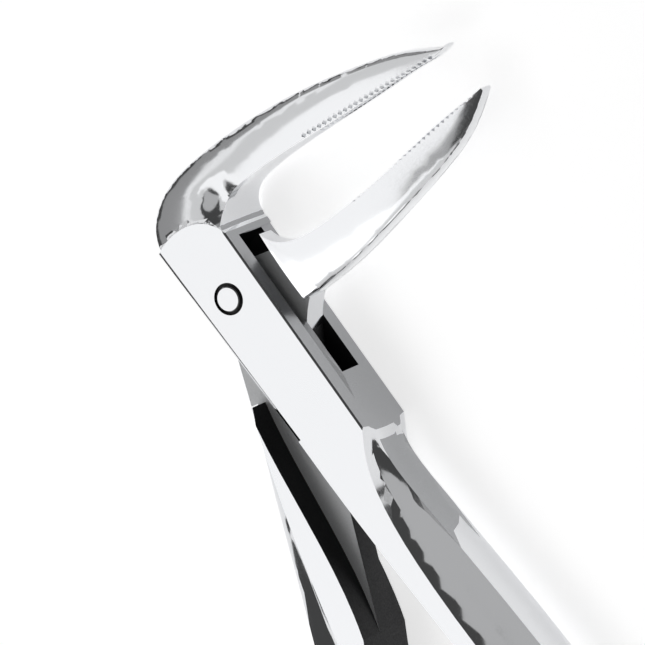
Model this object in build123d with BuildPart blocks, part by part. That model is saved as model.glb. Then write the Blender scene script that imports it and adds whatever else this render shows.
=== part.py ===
"""Root extraction forceps, English pattern, with a box joint and serrated beaks.

Frame: the forceps lie flat on their back faces. The hinge axis is +Z through the origin, the
back faces are on Z = 0, the handles run towards -Y and the beaks towards +X. Millimetres.
"""
from build123d import *
from math import acos, atan2, cos, degrees, hypot, radians, sin, tan
import os

# Thickness of the levers, from the back faces up
thickness = 10.0
back_plate = 2.2
slot_height = 3.9
neck_clearance = 0.1

# Box of the female lever
box_left = -4.3
box_right = 4.7
box_top = 9.3
left_taper = 0.9
slot_top_right = 5.4
slot_bottom_right = -13.8
slot_end_left = -41.0
relief_height = 1.5
relief_reach = 2.2
relief_bottom = -7.0
ledge_depth = 0.2
ledge_end_front = -19.0
ledge_end_back = -25.5
edge_break = 0.3
left_break_width = 0.35
left_break_drop = 0.18
box_waist = -25.0

# Rivet pin
pin_diameter = 3.0
pin_running_clearance = 0.04
pin_head_height = 0.2
pin_recess = 0.1
pin_head_chamfer = 0.12
ring_width = 0.42
ring_depth = 0.4

# Through lever: hub about the pin, neck and the turn between closed and fully open
hub_radius = 3.6
hub_clearance = 0.3
neck_slope = 8.6
open_angle = 8.8
open_further = 12.0

# Handles, laid out about the line that halves the closed forceps
bisector_tilt = 5.8
handle_length = 136.0
drawn_length = 136.0
grip_start = 48.0
facet_share = 0.28
facet_drop = 1.3
swell_share = 0.62
swell_rise = 0.15
brow_share = 0.94
brow_drop = 2.3

# Beaks
root_thickness = 7.3
tip_thickness = 2.3
rail_width = 0.9
side_bulge = 0.05
tooth_pitch = 0.78
upper_tooth_size = 0.5
lower_tooth_size = 0.36
dish_radius = 5.0
dish_floor = 8.3
dish_place = (6.7, 10.25)

spare = 2.0
half_arc = 1 - 0.5**0.5
mid_height = thickness / 2
neck_bottom = back_plate + neck_clearance
neck_top = back_plate + slot_height - neck_clearance
neck_height = neck_top - neck_bottom
ledge_height = back_plate + slot_height + relief_height


def handle_frame(tilt):
    """Plane on the back faces whose +Y runs up a handle that leans by tilt degrees."""
    return Plane((0, 0, 0), x_dir=(cos(radians(tilt)), -sin(radians(tilt)), 0))


def polar(radius, angle):
    """Point at a distance from the hinge axis, at an angle in degrees from +X."""
    return (radius * cos(radians(angle)), radius * sin(radians(angle)))


def reach(down):
    """Distance down a handle, stretched below the grip's start to suit the handle's length."""
    if down < grip_start:
        return down
    stretch = (handle_length - grip_start) / (drawn_length - grip_start)
    return grip_start + (down - grip_start) * stretch


def spot(frame, across, down):
    """Point on the back faces, from its place across and down a handle."""
    point = frame.from_local_coords(Vector(across, -reach(down), 0))
    return (point.X, point.Y)


def outside_of_grip(frame, side, stations):
    """Cutter that leaves a handle rounded on its outer side.

    Each station holds the distance down the handle, where the front flat ends and how far
    out the rounded side stands.
    """
    with BuildPart() as rounded:
        for down, flat_edge, outer in stations:
            crown = outer - flat_edge
            slope = facet_share * crown / facet_drop
            facet = (flat_edge + facet_share * crown, mid_height - facet_drop)
            swell = (
                flat_edge + swell_share * crown,
                mid_height - (facet_drop + brow_drop) / 2 + swell_rise,
            )
            brow = (flat_edge + brow_share * crown, mid_height - brow_drop)
            over = (flat_edge - slope * spare, mid_height + spare)
            origin = frame.from_local_coords(Vector(0, -reach(down), mid_height))
            with BuildSketch(Plane(origin, x_dir=frame.x_dir * side, z_dir=frame.y_dir * -side)):
                with BuildLine():
                    Line((-handle_length, over[1]), over)
                    Line(over, facet)
                    ThreePointArc(facet, swell, brow)
                    ThreePointArc(brow, (outer, 0), (brow[0], -brow[1]))
                    ThreePointArc(
                        (brow[0], -brow[1]), (swell[0], -swell[1]), (facet[0], -facet[1])
                    )
                    Line((facet[0], -facet[1]), (over[0], -over[1]))
                    Line((over[0], -over[1]), (-handle_length, -over[1]))
                    Line((-handle_length, -over[1]), (-handle_length, over[1]))
                make_face()
        loft()
    first = reach(stations[0][0])
    last = reach(stations[-1][0])
    with BuildPart() as cutter:
        with BuildSketch(frame.offset(-spare / 2)):
            with Locations((0, -(first + last) / 2)):
                Rectangle(handle_length, last - first)
        extrude(amount=thickness + spare)
        add(rounded.part, mode=Mode.SUBTRACT)
    return cutter.part


def beak_body(stations):
    """Gouge-shaped beak: two rails with a hollow between them, and a rounded back.

    Each station holds an inner point, an outer point, the thickness at the rails, how far
    the faces fall towards the back, how far the back's corners are rounded, and the depth
    of the hollow.
    """
    with BuildPart() as beak:
        for inner, outer, height, fall, corner, hollow in stations:
            across = Vector(*outer) - Vector(*inner)
            width = across.length
            half = height / 2
            edge = half - fall
            side_top = edge - corner
            rail = half - rail_width
            middle = ((width - corner) / 2, half - fall * half_arc)
            with BuildSketch(
                Plane((*inner, mid_height), x_dir=across, z_dir=across.cross(Vector(0, 0, 1)))
            ):
                with BuildLine():
                    ThreePointArc((0, half), middle, (width - corner, edge))
                    ThreePointArc(
                        (width - corner, edge),
                        (width - half_arc * corner, edge - half_arc * corner),
                        (width, side_top),
                    )
                    ThreePointArc((width, side_top), (width + side_bulge, 0), (width, -side_top))
                    ThreePointArc(
                        (width, -side_top),
                        (width - half_arc * corner, half_arc * corner - edge),
                        (width - corner, -edge),
                    )
                    ThreePointArc((width - corner, -edge), (middle[0], -middle[1]), (0, -half))
                    Line((0, -half), (0, -rail))
                    ThreePointArc((0, -rail), (hollow, 0), (0, rail))
                    Line((0, rail), (0, half))
                make_face()
        loft()
        with Locations((0, 0, mid_height)):
            Box(handle_length, handle_length, thickness, mode=Mode.INTERSECT)
    return beak.part


def teeth(start, end, size):
    """Notches across both rails, from a start point to an end point on the inner edge."""
    edge = Vector(*end) - Vector(*start)
    count = int(edge.length / tooth_pitch)
    with BuildPart() as notches:
        with BuildSketch(Plane((*start, 0), x_dir=edge)):
            with Locations(*[(tooth_pitch * (i + 0.5), 0) for i in range(count)]):
                Rectangle(size, size, rotation=45)
        extrude(amount=thickness)
    return notches.part


# Slot outline: a round cheek about the hub, then straight walls the neck can swing between
slot_radius = hub_radius + hub_clearance
rest_tilt = bisector_tilt + open_angle
widest_tilt = rest_tilt + neck_slope + open_further
roof_distance = hypot(box_right, slot_top_right)
slot_roof_angle = degrees(atan2(slot_top_right, box_right) + acos(slot_radius / roof_distance))
slot_wall_angle = 180 - widest_tilt
cheek_start = polar(slot_radius, slot_wall_angle)
cheek_middle = polar(slot_radius, (slot_wall_angle + slot_roof_angle) / 2)
cheek_end = polar(slot_radius, slot_roof_angle)
roof_slope = (slot_top_right - cheek_end[1]) / (box_right - cheek_end[0])
roof_end = (box_right + spare, slot_top_right + spare * roof_slope)
wall_out = box_left - spare
wall_end = (wall_out, cheek_start[1] - (cheek_start[0] - wall_out) / tan(radians(widest_tilt)))

box_frame = handle_frame(bisector_tilt)
through_frame = handle_frame(rest_tilt)

# Box lever: box with its slot, upper beak and right handle
upper_beak = beak_body(
    [
        ((4.0, 4.6), (-4.1, 5.0), 11.2, 0.3, 0.1, 0.05),
        ((4.7, 7.2), (-4.2, 9.2), 9.95, 0.5, 0.15, 0.05),
        ((5.6, 8.5), (-3.0, 12.7), 8.9, 0.9, 0.3, 0.05),
        ((7.0, 9.3), (0.2, 14.8), 8.0, 1.1, 0.5, 0.05),
        ((9.2, 9.65), (5.6, 15.55), 7.2, 1.1, 0.7, 0.15),
        ((12.6, 9.55), (11.6, 15.25), 6.6, 0.95, 0.8, 0.35),
        ((19.4, 8.9), (20.6, 13.95), 5.6, 0.7, 0.7, 0.6),
        ((29.2, 7.75), (30.4, 11.3), 4.3, 0.5, 0.5, 0.55),
        ((36.6, 6.85), (37.4, 8.25), 3.0, 0.25, 0.3, 0.3),
        ((40.3, 6.7), (40.4, 6.9), tip_thickness, 0.05, 0.1, 0.1),
    ]
)
box_grip = outside_of_grip(
    box_frame,
    1,
    [
        (14.0, 9.4, 9.6),
        (18.0, 8.0, 8.25),
        (21.2, 6.6, 7.1),
        (24.2, 5.1, 6.6),
        (27.8, 4.2, 6.9),
        (32.5, 3.85, 7.85),
        (39.0, 4.1, 9.2),
        (48.0, 5.1, 10.95),
        (60.0, 7.05, 12.95),
        (76.0, 9.4, 15.3),
        (92.0, 10.95, 16.85),
        (108.0, 11.5, 17.4),
        (124.0, 10.8, 16.7),
        (140.0, 8.7, 14.6),
    ],
)
inner_edge = [(2.76, 48), (5.0, 62), (7.3, 78), (8.8, 94), (9.2, 110), (8.4, 124)]
grip_end = [(7.2, 134), (11.0, 137.5), (14.8, 133)]
grip_side = [(20, 118), (20, 80), (12.5, 44)]

# Through lever: lower beak, neck through the box and left handle
lower_beak = beak_body(
    [
        ((7.6, 3.7), (6.7, -5.25), root_thickness, 1.2, 0.3, 0.05),
        ((9.4, 1.25), (10.2, -5.45), 6.8, 1.2, 0.3, 0.1),
        ((13.0, 0.15), (14.4, -5.45), 6.2, 1.05, 0.3, 0.3),
        ((19.6, -0.2), (20.6, -4.95), 5.5, 0.85, 0.3, 0.6),
        ((28.0, 0.1), (28.8, -4.0), 4.4, 0.6, 0.3, 0.55),
        ((35.4, 0.45), (36.0, -2.45), 3.2, 0.35, 0.25, 0.35),
        ((40.95, 0.45), (41.0, 0.1), tip_thickness - 0.2, 0.05, 0.1, 0.1),
    ]
)
through_grip = outside_of_grip(
    through_frame,
    -1,
    [
        (12.5, 3.1, 4.5),
        (15.5, 3.4, 4.8),
        (19.0, 3.75, 5.45),
        (27.0, 4.4, 6.9),
        (34.0, 4.6, 8.1),
        (41.0, 4.6, 9.4),
        (49.0, 5.1, 10.85),
        (60.0, 6.95, 12.85),
        (76.0, 9.35, 15.25),
        (92.0, 10.95, 16.85),
        (108.0, 11.5, 17.4),
        (124.0, 10.8, 16.7),
        (140.0, 8.7, 14.6),
    ],
)
shoulder_edge = [(-3.4, 12.6), (-2.65, 21.75), (-1.5, 30.9), (-1.15, 42.3)]
root_notch = [(6.8, 5), (6.8, 1.7), (9.5, 0), (13, -0.5), (13.4, 1.5), (9, 5)]
neck_side = [(4.3, 12.5), (5.1, 8.5), (6.4, 5.4)]

with BuildPart() as through_lever:
    with BuildSketch(Plane.XY.offset(neck_bottom)):
        with BuildLine():
            hub_start = polar(hub_radius, 88)
            hub_finish = 180 - rest_tilt - neck_slope
            beak_heel = (7.6, -4.7)
            neck_line = [spot(through_frame, across, down) for across, down in neck_side]
            neck_foot = [spot(through_frame, -9.3, 40.4), spot(through_frame, *shoulder_edge[-1])]
            Polyline((9.5, -4.0), (9.5, 0.0), (7.0, 1.6), hub_start)
            ThreePointArc(
                hub_start,
                polar(hub_radius, (88 + hub_finish) / 2),
                polar(hub_radius, hub_finish),
            )
            Polyline(polar(hub_radius, hub_finish), *neck_foot, neck_line[0])
            Spline(*neck_line, beak_heel)
            Line(beak_heel, (9.5, -4.0))
        make_face()
    extrude(amount=neck_height)
    with BuildSketch():
        with BuildLine():
            shoulder = [spot(through_frame, across, down) for across, down in shoulder_edge]
            inner_line = [spot(through_frame, -across, down) for across, down in inner_edge]
            end_points = [spot(through_frame, -across, down) for across, down in grip_end]
            side_points = [spot(through_frame, -across, down) for across, down in grip_side]
            Spline(*shoulder)
            Spline(shoulder[-1], *inner_line, end_points[0])
            ThreePointArc(*end_points)
            Polyline(
                end_points[-1],
                *side_points,
                spot(through_frame, -9.2, shoulder_edge[0][1]),
                shoulder[0],
            )
        make_face()
    extrude(amount=thickness)
    add(through_grip, mode=Mode.SUBTRACT)
    add(lower_beak)
    with BuildSketch():
        Polygon(*root_notch, align=None)
    extrude(amount=neck_top, mode=Mode.SUBTRACT)
    add(teeth((19.6, -0.25), (40.2, 0.5), lower_tooth_size), mode=Mode.SUBTRACT)
    with Locations((0, 0, thickness)):
        Hole(pin_diameter / 2 + pin_running_clearance)
through_lever.part.label = "through_lever"

# Joint pin: plain rivet, its head a little proud of the front plate
with BuildPart() as joint_pin:
    with BuildSketch(Plane.XY.offset(pin_recess)):
        Circle(pin_diameter / 2)
    extrude(amount=thickness + pin_head_height - pin_recess)
    chamfer(joint_pin.edges().sort_by(Axis.Z)[-1], pin_head_chamfer)
joint_pin.part.label = "joint_pin"

with BuildPart() as box_lever:
    with BuildSketch():
        with BuildLine():
            waist = (box_left + left_taper, -18)
            left_run = Vector(*waist) - Vector(box_left, box_top)
            box_corner = (box_right, slot_top_right + 0.8)
            inner_points = [spot(box_frame, across, down) for across, down in inner_edge]
            tail_points = [spot(box_frame, across, down) for across, down in grip_end]
            flank_points = [spot(box_frame, across, down) for across, down in grip_side]
            Line((box_left, box_top), waist)
            Spline(waist, spot(box_frame, -0.35, 28.2), *inner_points, tail_points[0])
            ThreePointArc(*tail_points)
            Polyline(tail_points[-1], *flank_points, (box_right, box_waist), box_corner)
            Spline(box_corner, (3.25, 8.5), (-0.75, 9.9), (box_left, box_top))
        make_face()
    extrude(amount=thickness)
    add(box_grip, mode=Mode.SUBTRACT)
    add(upper_beak)
    add(teeth((19.2, 9.3), (39.2, 6.75), upper_tooth_size), mode=Mode.SUBTRACT)
    with BuildSketch(Plane.XZ.offset(-box_corner[1])):
        with Locations((box_right, thickness)):
            Rectangle(edge_break, edge_break, rotation=45)
    extrude(amount=box_corner[1] - box_waist, mode=Mode.SUBTRACT)
    with BuildSketch(Plane((box_left, box_top, thickness), x_dir=(0, 0, 1), z_dir=left_run)):
        Polygon((0, -left_break_width), (-left_break_drop, 0), (spare, spare), align=None)
    extrude(amount=left_run.length, mode=Mode.SUBTRACT)
    with Locations((*dish_place, dish_floor + dish_radius)):
        Sphere(dish_radius, mode=Mode.SUBTRACT)
    with BuildSketch(Plane.XY.offset(back_plate)):
        with BuildLine():
            Line(roof_end, cheek_end)
            ThreePointArc(cheek_end, cheek_middle, cheek_start)
            Polyline(
                cheek_start,
                wall_end,
                (wall_out, slot_end_left - spare),
                (box_left, slot_end_left),
                (0.8, -25),
                (box_right, slot_bottom_right),
                (box_right + spare, slot_bottom_right),
                roof_end,
            )
        make_face()
    extrude(amount=slot_height, mode=Mode.SUBTRACT)
    with BuildSketch(Plane.XY.offset(back_plate + slot_height)):
        with Locations((box_right, (relief_bottom + slot_top_right) / 2)):
            Rectangle(2 * relief_reach, slot_top_right - relief_bottom)
    extrude(amount=relief_height, mode=Mode.SUBTRACT)
    with BuildSketch(Plane.YZ.offset(box_right - ledge_depth)):
        Polygon(
            (slot_top_right, ledge_height),
            (ledge_end_front, ledge_height),
            (ledge_end_back, 0),
            (slot_top_right, 0),
            align=None,
        )
    extrude(amount=spare, mode=Mode.SUBTRACT)
    with Locations((0, 0, thickness)):
        CounterBoreHole(pin_diameter / 2, pin_diameter / 2 + ring_width, ring_depth)
box_lever.part.label = "box_lever"

os.makedirs("parts", exist_ok=True)
export_step(box_lever.part, "parts/box_lever.step")
export_step(through_lever.part, "parts/through_lever.step")
export_step(joint_pin.part, "parts/joint_pin.step")
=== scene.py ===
# %% [markdown]
# # Root extraction forceps in polished steel
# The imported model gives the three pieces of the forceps, in metres: the box lever, the through
# lever and the joint pin. This lesson gives them their finish, a camera and a studio.

# %% Load the frame
from math import cos, hypot, pi, radians, sin

import bpy
from mathutils import Matrix, Vector


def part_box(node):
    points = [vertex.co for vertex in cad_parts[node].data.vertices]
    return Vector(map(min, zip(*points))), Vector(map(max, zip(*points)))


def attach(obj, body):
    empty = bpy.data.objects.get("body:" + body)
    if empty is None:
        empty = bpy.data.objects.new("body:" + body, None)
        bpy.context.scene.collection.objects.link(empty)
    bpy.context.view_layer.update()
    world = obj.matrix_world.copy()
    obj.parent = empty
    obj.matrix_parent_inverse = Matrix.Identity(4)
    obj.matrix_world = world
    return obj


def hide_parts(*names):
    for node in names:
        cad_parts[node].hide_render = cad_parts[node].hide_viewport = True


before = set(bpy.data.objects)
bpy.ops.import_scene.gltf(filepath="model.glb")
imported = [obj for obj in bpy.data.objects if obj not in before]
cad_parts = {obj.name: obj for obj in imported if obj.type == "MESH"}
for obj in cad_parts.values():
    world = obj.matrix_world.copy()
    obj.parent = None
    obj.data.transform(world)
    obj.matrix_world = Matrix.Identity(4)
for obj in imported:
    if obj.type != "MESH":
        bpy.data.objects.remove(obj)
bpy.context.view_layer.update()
MM = 0.001

# %% [markdown]
# ## The camera
# The forceps lie on their back faces. The camera looks down on the box and the beaks with a
# very long lens, so that near and far parts keep the same scale.

# %% Camera
TILT = radians(32)
LEAN = radians(14.43)
LENS = 400
SENSOR = 36
VIEW_WIDTH = 74.3 * MM
AIM_RIGHT = 10.83 * MM
AIM_DOWN = 2.71 * MM
FARTHEST_SEEN = 20

front = Vector((0, 0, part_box("box_lever")[1].z))
towards = Vector((sin(TILT) * cos(LEAN), -sin(TILT) * sin(LEAN), cos(TILT)))
picture_up = Vector((0.5503, 0.8089, -0.2070))
picture_right = picture_up.cross(towards).normalized()
aim = front + picture_right * AIM_RIGHT - picture_up * AIM_DOWN

bpy.ops.object.select_all(action="DESELECT")
bpy.ops.object.camera_add()
camera = bpy.context.object
camera.name = "camera"
camera.data.lens = LENS
camera.data.sensor_width = SENSOR
distance = VIEW_WIDTH / SENSOR * LENS
camera.matrix_world = Matrix.Translation(aim + towards * distance) @ Matrix(
    (picture_right, picture_up, towards)
).transposed().to_4x4()
camera.data.clip_end = FARTHEST_SEEN
bpy.context.scene.camera = camera
bpy.context.scene.view_settings.view_transform = "Standard"
print("camera stands", round(distance, 3), "m away")

# %% [markdown]
# ## One helper for the materials
# Every finish below is a small graph of nodes, so one function adds a node with its settings
# and links. Colours are written as on a paint card and turned to the linear values that the
# shader works with.

# %% Helpers for materials


def linear(hex_colour):
    """Linear RGBA of an sRGB colour such as 'DCDDDF'."""
    parts = [int(hex_colour[i : i + 2], 16) / 255 for i in (0, 2, 4)]
    return [p / 12.92 if p <= 0.04045 else ((p + 0.055) / 1.055) ** 2.4 for p in parts] + [1]


def add_node(material, kind, settings=None, links=None, **values):
    """Adds a node, sets its properties and sockets, and links its inputs."""
    node = material.node_tree.nodes.new(kind)
    for name, value in (settings or {}).items():
        setattr(node, name, value)
    for name, value in values.items():
        node.inputs[name.replace("_", " ")].default_value = value
    for name, output in (links or {}).items():
        material.node_tree.links.new(output, node.inputs[name])
    return node


def new_material(name):
    """Empty material with its output node."""
    material = bpy.data.materials.new(name)
    material.use_nodes = True
    material.node_tree.nodes.clear()
    return material, add_node(material, "ShaderNodeOutputMaterial")


# %% [markdown]
# ## Steel finishes
# The levers are forged from martensitic stainless steel, ground, then mirror polished on
# felt wheels, which leaves a very fine grain that only blurs reflections a little. The neck
# faces are ground and the slot is milled, and neither is polished, so they stay matt. A real
# polishing grain is far too fine to show here, so every grain is drawn coarser, as large as the
# render can hold, and its width is given in millimetres. Three colours also carry painted light.
# The milled finish is painted near black: painted shade for the deep slot and the pin's ring,
# and a painted dark reflection on the walls of the through lever. The satin sides are painted
# a darker grey, a painted reflection of the shaded floor beside the box. The ground neck faces
# are painted brighter than the polished steel, painted light where the walls block the lamps.

# %% Steel finishes


def steel(name, colour, rough_low, rough_high, grain_mm, grain_height_mm):
    """Stainless steel: a grain of the given width varies the roughness and the height."""
    material, output = new_material(name)
    place = add_node(material, "ShaderNodeTexCoord")
    grain = add_node(
        material,
        "ShaderNodeTexNoise",
        links={"Vector": place.outputs["Object"]},
        Scale=1 / (grain_mm * MM),
        Detail=3,
        Roughness=0.6,
    )
    rough = add_node(
        material,
        "ShaderNodeMapRange",
        links={"Value": grain.outputs["Fac"]},
        From_Min=0.3,
        From_Max=0.7,
        To_Min=rough_low,
        To_Max=rough_high,
    )
    bump = add_node(
        material,
        "ShaderNodeBump",
        links={"Height": grain.outputs["Fac"]},
        Strength=1,
        Distance=grain_height_mm * MM,
    )
    metal = add_node(
        material,
        "ShaderNodeBsdfPrincipled",
        links={"Roughness": rough.outputs["Result"], "Normal": bump.outputs["Normal"]},
        Metallic=1,
        Base_Color=linear(colour),
    )
    material.node_tree.links.new(metal.outputs["BSDF"], output.inputs["Surface"])
    return material


polished = steel("stainless steel, mirror polished", "DCDDDF", 0.08, 0.14, 0.25, 0.0002)
# Satin sides: the darker grey is partly the satin grind and partly a painted reflection of the
# shaded floor.
satin_painted_shade = steel("stainless steel, satin sides, painted shade", "A2A3A5", 0.25, 0.35, 0.1, 0.0025)
# Ground neck faces: a matt grind, with a colour brighter than the polished steel as painted
# light.
ground_painted_light = steel("stainless steel, ground neck faces, painted light", "ECEDEE", 0.65, 0.85, 0.16, 0.006)
# Milled finish: rough milling, with a near-black colour that is painted shade and a painted dark
# reflection.
milled_painted_shade = steel("stainless steel, rough milled, painted shade", "3A3A3B", 0.45, 0.7, 0.2, 0.012)
finishes = (polished, satin_painted_shade, ground_painted_light, milled_painted_shade)
print("finishes:", [finish.name for finish in finishes])

# %% [markdown]
# ## The levers and the pin
# The CAD meshes are loose triangles. A merged copy of each one is shaded smoothly across its
# rounded parts and kept sharp at its edges. Its normals are then averaged with their near
# neighbours, which calms the streaks of long triangles but doesn't remove them: on the grips
# and beaks the borders of reflections stay wavy. It stands in for its node and rides with the
# same body, so the through lever turns about the pin.

# %% Shown pieces
FLATNESS = 0.99999
MERGE_DISTANCE = 0.004 * MM
SLIVER_WIDTH = 0.01 * MM
SHARP_ANGLE = 12
SMOOTH_PASSES = 3
SMOOTH_OWN = 1
SMOOTH_REACH = 0.5 * MM


def even_normals(piece):
    """Averages the normals of each fan of smoothly joined faces with those of near fans."""
    mesh = piece.data
    sharp = {edge.key for edge in mesh.edges if edge.use_edge_sharp}
    edge_faces = {}
    for face in mesh.polygons:
        for edge in face.edge_keys:
            edge_faces.setdefault(edge, []).append(face.index)
    fan = {}
    for face in mesh.polygons:
        for vertex in face.vertices:
            fan[(vertex, face.index)] = (vertex, face.index)

    def root(key):
        while fan[key] != key:
            fan[key] = fan[fan[key]]
            key = fan[key]
        return key

    for edge, faces in edge_faces.items():
        if edge not in sharp and len(faces) == 2:
            for vertex in edge:
                fan[root((vertex, faces[0]))] = root((vertex, faces[1]))
    corners = {}
    normals = {}
    for face in mesh.polygons:
        count = len(face.vertices)
        for place, loop in enumerate(face.loop_indices):
            here = mesh.vertices[face.vertices[place]].co
            back = mesh.vertices[face.vertices[place - 1]].co - here
            ahead = mesh.vertices[face.vertices[(place + 1) % count]].co - here
            key = root((face.vertices[place], face.index))
            corners[loop] = key
            normals.setdefault(key, Vector())
            if back.length > 0 and ahead.length > 0:
                normals[key] += face.normal * back.angle(ahead)
    for normal in normals.values():
        normal.normalize()
    neighbours = {key: {} for key in normals}
    for edge, faces in edge_faces.items():
        length = (mesh.vertices[edge[0]].co - mesh.vertices[edge[1]].co).length
        for face in faces:
            start, end = root((edge[0], face)), root((edge[1], face))
            neighbours[start][end] = length
            neighbours[end][start] = length
    for _ in range(SMOOTH_PASSES):
        evened = {}
        for key, normal in normals.items():
            total = normal * SMOOTH_OWN
            for other, length in neighbours[key].items():
                total += normals[other] * (SMOOTH_REACH / (SMOOTH_REACH + length)) ** 2
            evened[key] = total.normalized()
        normals = evened
    mesh.normals_split_custom_set([normals[corners[i]] for i in range(len(mesh.loops))])


def rim_edges(piece):
    """Keeps the rims of flat faces sharp, so that the flats reflect evenly."""
    mesh = piece.data
    flat_sides = {}
    for face in mesh.polygons:
        flat = max(abs(value) for value in face.normal) > FLATNESS
        for edge in face.edge_keys:
            flat_sides.setdefault(edge, []).append(flat)
    for edge in mesh.edges:
        sides = flat_sides.get(edge.key, [])
        if any(sides) and not all(sides):
            edge.use_edge_sharp = True


def shown_copy(node, body):
    """Merged and smoothly shaded copy of a CAD node, which stands in for it."""
    bpy.ops.object.select_all(action="DESELECT")
    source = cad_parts[node]
    piece = source.copy()
    piece.data = source.data.copy()
    piece.name = node + "_finished"
    for key in list(piece.keys()):
        del piece[key]
    piece.parent = None
    bpy.context.scene.collection.objects.link(piece)
    piece.select_set(True)
    bpy.context.view_layer.objects.active = piece
    bpy.ops.object.mode_set(mode="EDIT")
    bpy.ops.mesh.select_all(action="SELECT")
    bpy.ops.mesh.remove_doubles(threshold=MERGE_DISTANCE)
    bpy.ops.mesh.dissolve_degenerate(threshold=SLIVER_WIDTH)
    bpy.ops.object.mode_set(mode="OBJECT")
    bpy.ops.object.shade_smooth_by_angle(angle=radians(SHARP_ANGLE))
    rim_edges(piece)
    even_normals(piece)
    piece.data.materials.clear()
    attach(piece, body)
    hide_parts(node)
    return piece


pieces = {
    "box_lever": shown_copy("box_lever", "root"),
    "through_lever": shown_copy("through_lever", "through"),
    "joint_pin": shown_copy("joint_pin", "root"),
}
for name, piece in pieces.items():
    print(name, len(piece.data.polygons), "faces")

# %% [markdown]
# ## Where each finish goes
# Faces are told apart by their direction and place. Flat faces between the front and the back are
# the neck of the through lever, which is ground and painted brighter as painted light, and the
# inside of the slot, which is milled and painted near black as painted shade. The ring round the
# pin gets the same painted shade, and the upright right-hand walls of the through lever, all the
# way down its handle, get it as a painted dark reflection. The flat sides of the box keep a satin
# grind, painted darker as a painted reflection of the shaded floor, and the rest is polished.
#
# One known fault: the tests for the slot's walls and for the box's sides have no limit along the
# lever. They also catch triangles of the box lever's own handle walls, so its inner wall shows a
# zigzag of dark and light when it is seen from behind. A limit on place.y would keep them out.

# %% Finish of each face
POLISHED, SATIN_PAINTED_SHADE, GROUND_PAINTED_LIGHT, PAINTED_SHADE_MILLED = range(4)
RING_REACH = 1.95 * MM
SLOT_LEFT = -4.6 * MM
BOX_SIDE_REACH = 4.8 * MM
HANDLE_START = -8 * MM


def finish_index(face, depth, name):
    """Index of the finish of a face, from its direction, its place and its depth in the lever."""
    across, _, up = face.normal
    place = face.center
    if name == "joint_pin":
        return POLISHED
    # The ring round the pin: painted shade in its recess.
    if name == "box_lever" and hypot(place.x, place.y) < RING_REACH:
        return PAINTED_SHADE_MILLED
    # Flat inner faces: painted light on the neck, painted shade on the slot's flats.
    if abs(up) > FLATNESS and 0.15 < depth < 0.85:
        return GROUND_PAINTED_LIGHT if name == "through_lever" else PAINTED_SHADE_MILLED
    # The slot's walls: painted shade.
    if name == "box_lever" and across < -0.9 and SLOT_LEFT < place.x and 0.2 < depth < 0.8:
        return PAINTED_SHADE_MILLED
    # The box's flat sides: a painted reflection of the shaded floor.
    if name == "box_lever" and abs(across) > 0.97 and abs(place.x) < BOX_SIDE_REACH:
        return SATIN_PAINTED_SHADE
    # The through lever's right-hand walls: a painted dark reflection.
    if name == "through_lever" and abs(up) < 0.05 and across > 0.6 and place.y < HANDLE_START:
        return PAINTED_SHADE_MILLED
    return POLISHED


for name, piece in pieces.items():
    low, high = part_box(name)
    for finish in finishes:
        piece.data.materials.append(finish)
    for face in piece.data.polygons:
        depth = (face.center.z - low.z) / (high.z - low.z)
        face.material_index = finish_index(face, depth, name)
    used = [face.material_index for face in piece.data.polygons]
    print(name, [used.count(index) for index in (POLISHED, SATIN_PAINTED_SHADE, GROUND_PAINTED_LIGHT, PAINTED_SHADE_MILLED)])

# %% [markdown]
# ## The light table
# Instruments like this are shown on a white acrylic sheet lit a little from below, which takes
# the weight out of the shadows.

# %% Floor
TABLE_WIDTH = 6
TABLE_GLOW = 0.66
bpy.ops.object.select_all(action="DESELECT")
bpy.ops.mesh.primitive_plane_add(size=TABLE_WIDTH)
floor = bpy.context.object
floor.name = "floor"
acrylic, output = new_material("white acrylic light table")
sheet = add_node(
    acrylic,
    "ShaderNodeBsdfPrincipled",
    Roughness=0.9,
    Base_Color=linear("F4F4F4"),
    Emission_Color=linear("FFFFFF"),
    Emission_Strength=TABLE_GLOW,
)
acrylic.node_tree.links.new(sheet.outputs["BSDF"], output.inputs["Surface"])
floor.data.materials.append(acrylic)
print("floor", floor.dimensions.x, "m wide")

# %% [markdown]
# ## Studio light
# Polished steel shows its surroundings, so the panels are placed by what each face reflects.
# Three key panels high on the far side from the camera make the flat front faces and the lower
# beak white, and two weaker fills stand below them. One overhead gives the broad bands of the
# handles their grey, a low strip lies on the right, and the gaps between the panels stay dark.

# %% Lights
ROOM_LIGHT = 0.07


def softbox(name, azimuth, elevation, width, height, radiance):
    """Soft panel a metre away, facing the joint; its power follows from its brightness."""
    turn, lift = radians(azimuth), radians(elevation)
    outwards = Vector((cos(lift) * cos(turn), cos(lift) * sin(turn), sin(lift)))
    bpy.ops.object.light_add(type="AREA", location=outwards)
    lamp = bpy.context.object
    lamp.name = name
    lamp.data.shape = "RECTANGLE"
    lamp.data.size = width
    lamp.data.size_y = height
    lamp.data.energy = radiance * pi * width * height
    lamp.rotation_euler = outwards.to_track_quat("Z", "Y").to_euler()
    lamp.visible_camera = False
    print(name, round(lamp.data.energy, 2), "W")


softbox("key", 180, 62, 1.0, 0.45, 0.45)
softbox("broad key", 160, 60, 1.6, 0.55, 0.72)
softbox("front key", 218, 52, 0.9, 0.36, 0.75)
softbox("fill behind", 120, 30, 1.3, 0.5, 0.28)
softbox("fill in front", 215, 28, 0.9, 0.3, 0.16)
softbox("overhead", 30, 76, 0.7, 0.7, 0.48)
softbox("right strip", 6, 9, 1.0, 0.09, 0.75)
world = bpy.data.worlds.new("studio")
bpy.context.scene.world = world
world.use_nodes = True
surroundings = world.node_tree.nodes["Background"]
surroundings.inputs["Color"].default_value = linear("FFFFFF")
surroundings.inputs["Strength"].default_value = ROOM_LIGHT
